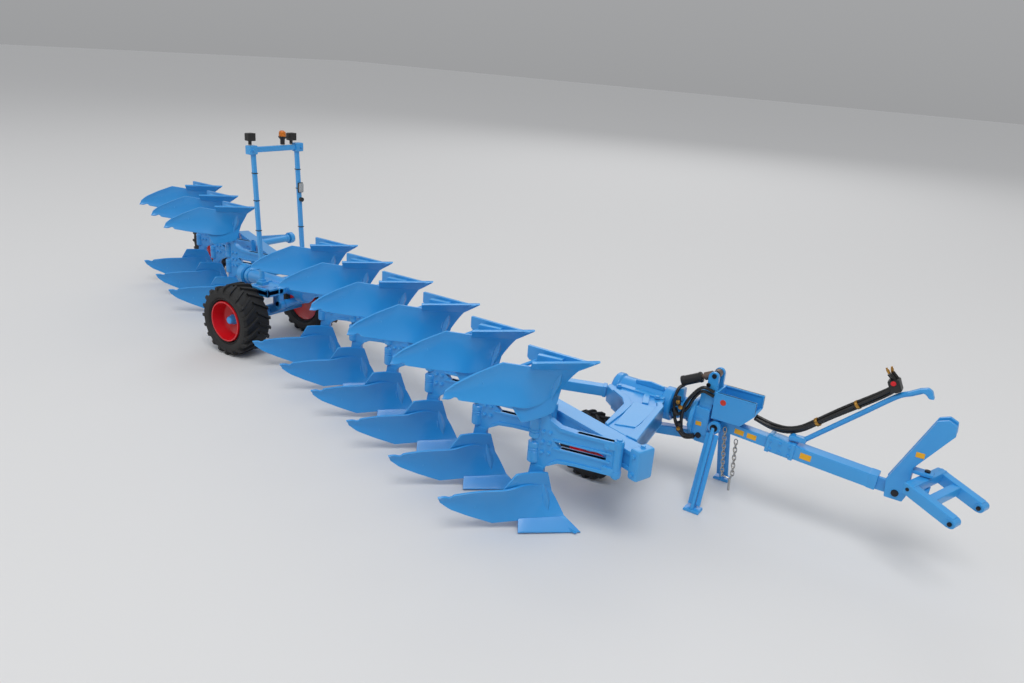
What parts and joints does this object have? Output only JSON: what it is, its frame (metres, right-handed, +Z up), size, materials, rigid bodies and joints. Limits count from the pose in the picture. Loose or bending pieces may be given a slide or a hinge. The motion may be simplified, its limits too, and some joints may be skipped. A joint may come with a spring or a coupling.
{
  "type": "scale model of a semi-mounted reversible moldboard plough",
  "caption": "Scale model of a reversible moldboard plough: slanted beams with paired bottoms above and below a turning axis, wheeled carriage with lamp gantry, drawbar, stand and hitch.",
  "frame": {"origin": "middle of the base of the whole model, on the surface it stands on", "axes": "+X is the direction of travel, +Y its left side, +Z up"},
  "size_m": [0.482, 0.1632, 0.1084],
  "materials": {
    "blue_enamel": "glossy baked enamel on die-cast metal",
    "red_enamel": "satin paint",
    "tyre_rubber": "matt moulded rubber",
    "hose_rubber": "smooth",
    "black_plastic": "satin moulded",
    "amber_plastic": "clear amber",
    "pin_steel": "turned"
  },
  "bodies": {
    "front_end": {"headstock": "blue_enamel", "drawbar": "blue_enamel", "hose_tray": "blue_enamel", "hose_arm": "blue_enamel", "hose_bundle": "hose_rubber", "turnover_barrel": "black_plastic", "turnover_rod": "pin_steel"},
    "front_section": {"front_beam": "blue_enamel", "cross_frame": "blue_enamel", "strut_tube": "blue_enamel", "tool_box": "red_enamel", "rear_crosshead": "blue_enamel", "leg_pair_1": "blue_enamel", "lower_bottom_1": "blue_enamel", "upper_bottom_1": "blue_enamel", "leg_pair_2": "blue_enamel", "lower_bottom_2": "blue_enamel", "upper_bottom_2": "blue_enamel", "leg_pair_3": "blue_enamel", "lower_bottom_3": "blue_enamel", "upper_bottom_3": "blue_enamel", "leg_pair_4": "blue_enamel", "lower_bottom_4": "blue_enamel", "upper_bottom_4": "blue_enamel", "leg_pair_5": "blue_enamel", "lower_bottom_5": "blue_enamel", "upper_bottom_5": "blue_enamel", "leg_pair_6": "blue_enamel", "lower_bottom_6": "blue_enamel", "upper_bottom_6": "blue_enamel"},
    "carriage": {"carriage_frame": "blue_enamel", "gantry": "blue_enamel", "gantry_lamp_right": "black_plastic", "gantry_lamp_left": "black_plastic", "beacon": "amber_plastic"},
    "carriage_axle": {"carriage_axle": "blue_enamel"},
    "wheel_right": {"wheel_right_tyre": "tyre_rubber", "wheel_right_rim": "red_enamel"},
    "wheel_left": {"wheel_left_tyre": "tyre_rubber", "wheel_left_rim": "red_enamel"},
    "rear_section": {"rear_crosshead_arm": "blue_enamel", "rear_beam": "blue_enamel", "leg_pair_7": "blue_enamel", "lower_bottom_7": "blue_enamel", "upper_bottom_7": "blue_enamel", "leg_pair_8": "blue_enamel", "lower_bottom_8": "blue_enamel", "upper_bottom_8": "blue_enamel", "leg_pair_9": "blue_enamel", "lower_bottom_9": "blue_enamel", "upper_bottom_9": "blue_enamel"},
    "rear_wheel_arm": {"rear_wheel_arm": "blue_enamel"},
    "rear_wheel": {"rear_wheel_tyre": "tyre_rubber", "rear_wheel_rim": "red_enamel"},
    "support_wheel": {"support_wheel_tyre": "tyre_rubber", "support_wheel_rim": "red_enamel"},
    "parking_stand": {"parking_stand_leg_right": "blue_enamel", "parking_stand_leg_left": "blue_enamel"},
    "hitch_yoke": {"hitch_yoke": "blue_enamel"},
    "hitch_frame": {"hitch_frame": "blue_enamel"}
  },
  "joints": [
    {"name": "turnover", "type": "hinge", "parent": "front_end", "child": "front_section", "pos_m": [0.14052, 0.00628, 0.0314], "axis": [-1, 0, 0], "range_deg": [0, 180]},
    {"name": "carriage_bearing", "type": "hinge", "parent": "front_section", "child": "carriage", "pos_m": [-0.06648, 0.00628, 0.0314], "axis": [-1, 0, 0], "range_deg": [-180, 0]},
    {"name": "rear_turnover", "type": "hinge", "parent": "carriage", "child": "rear_section", "pos_m": [-0.11048, 0.00628, 0.0314], "axis": [-1, 0, 0], "range_deg": [0, 180]},
    {"name": "rear_wheel_swing", "type": "hinge", "parent": "rear_section", "child": "rear_wheel_arm", "pos_m": [-0.16048, 0.07028, 0.0314], "axis": [0, 1, 0], "range_deg": [0, 24.9]},
    {"name": "carriage_lift", "type": "hinge", "parent": "carriage", "child": "carriage_axle", "pos_m": [-0.07548, 0.00628, 0.024], "axis": [0, -1, 0], "range_deg": [0, 20]},
    {"name": "wheel_right_spin", "type": "hinge", "parent": "carriage_axle", "child": "wheel_right", "pos_m": [-0.08848, -0.01852, 0.0175], "axis": [0, 1, 0], "continuous": true},
    {"name": "wheel_left_spin", "type": "hinge", "parent": "carriage_axle", "child": "wheel_left", "pos_m": [-0.08848, 0.03107, 0.0175], "axis": [0, 1, 0], "continuous": true},
    {"name": "rear_wheel_spin", "type": "hinge", "parent": "rear_wheel_arm", "child": "rear_wheel", "pos_m": [-0.22348, 0.07028, 0.0175], "axis": [0, 1, 0], "continuous": true},
    {"name": "support_wheel_spin", "type": "hinge", "parent": "front_end", "child": "support_wheel", "pos_m": [0.11002, -0.01123, 0.013], "axis": [0, 1, 0], "continuous": true},
    {"name": "stand_fold", "type": "hinge", "parent": "front_end", "child": "parking_stand", "pos_m": [0.15242, 0.00628, 0.0298], "axis": [0, -1, 0], "range_deg": [0, 80]},
    {"name": "hitch_pitch", "type": "hinge", "parent": "front_end", "child": "hitch_yoke", "pos_m": [0.21402, 0.00628, 0.0252], "axis": [0, 1, 0], "range_deg": [-15, 10]},
    {"name": "hitch_yaw", "type": "hinge", "parent": "hitch_yoke", "child": "hitch_frame", "pos_m": [0.22152, 0.00628, 0.0314], "axis": [0, 0, 1], "range_deg": [-15, 55]}
  ],
  "couplings": [
    {"joint": "carriage_bearing", "follows": "turnover", "ratio": -1},
    {"joint": "rear_turnover", "follows": "turnover", "ratio": 1},
    {"joint": "rear_wheel_swing", "follows": "turnover", "ratio": 0.13825}
  ]
}
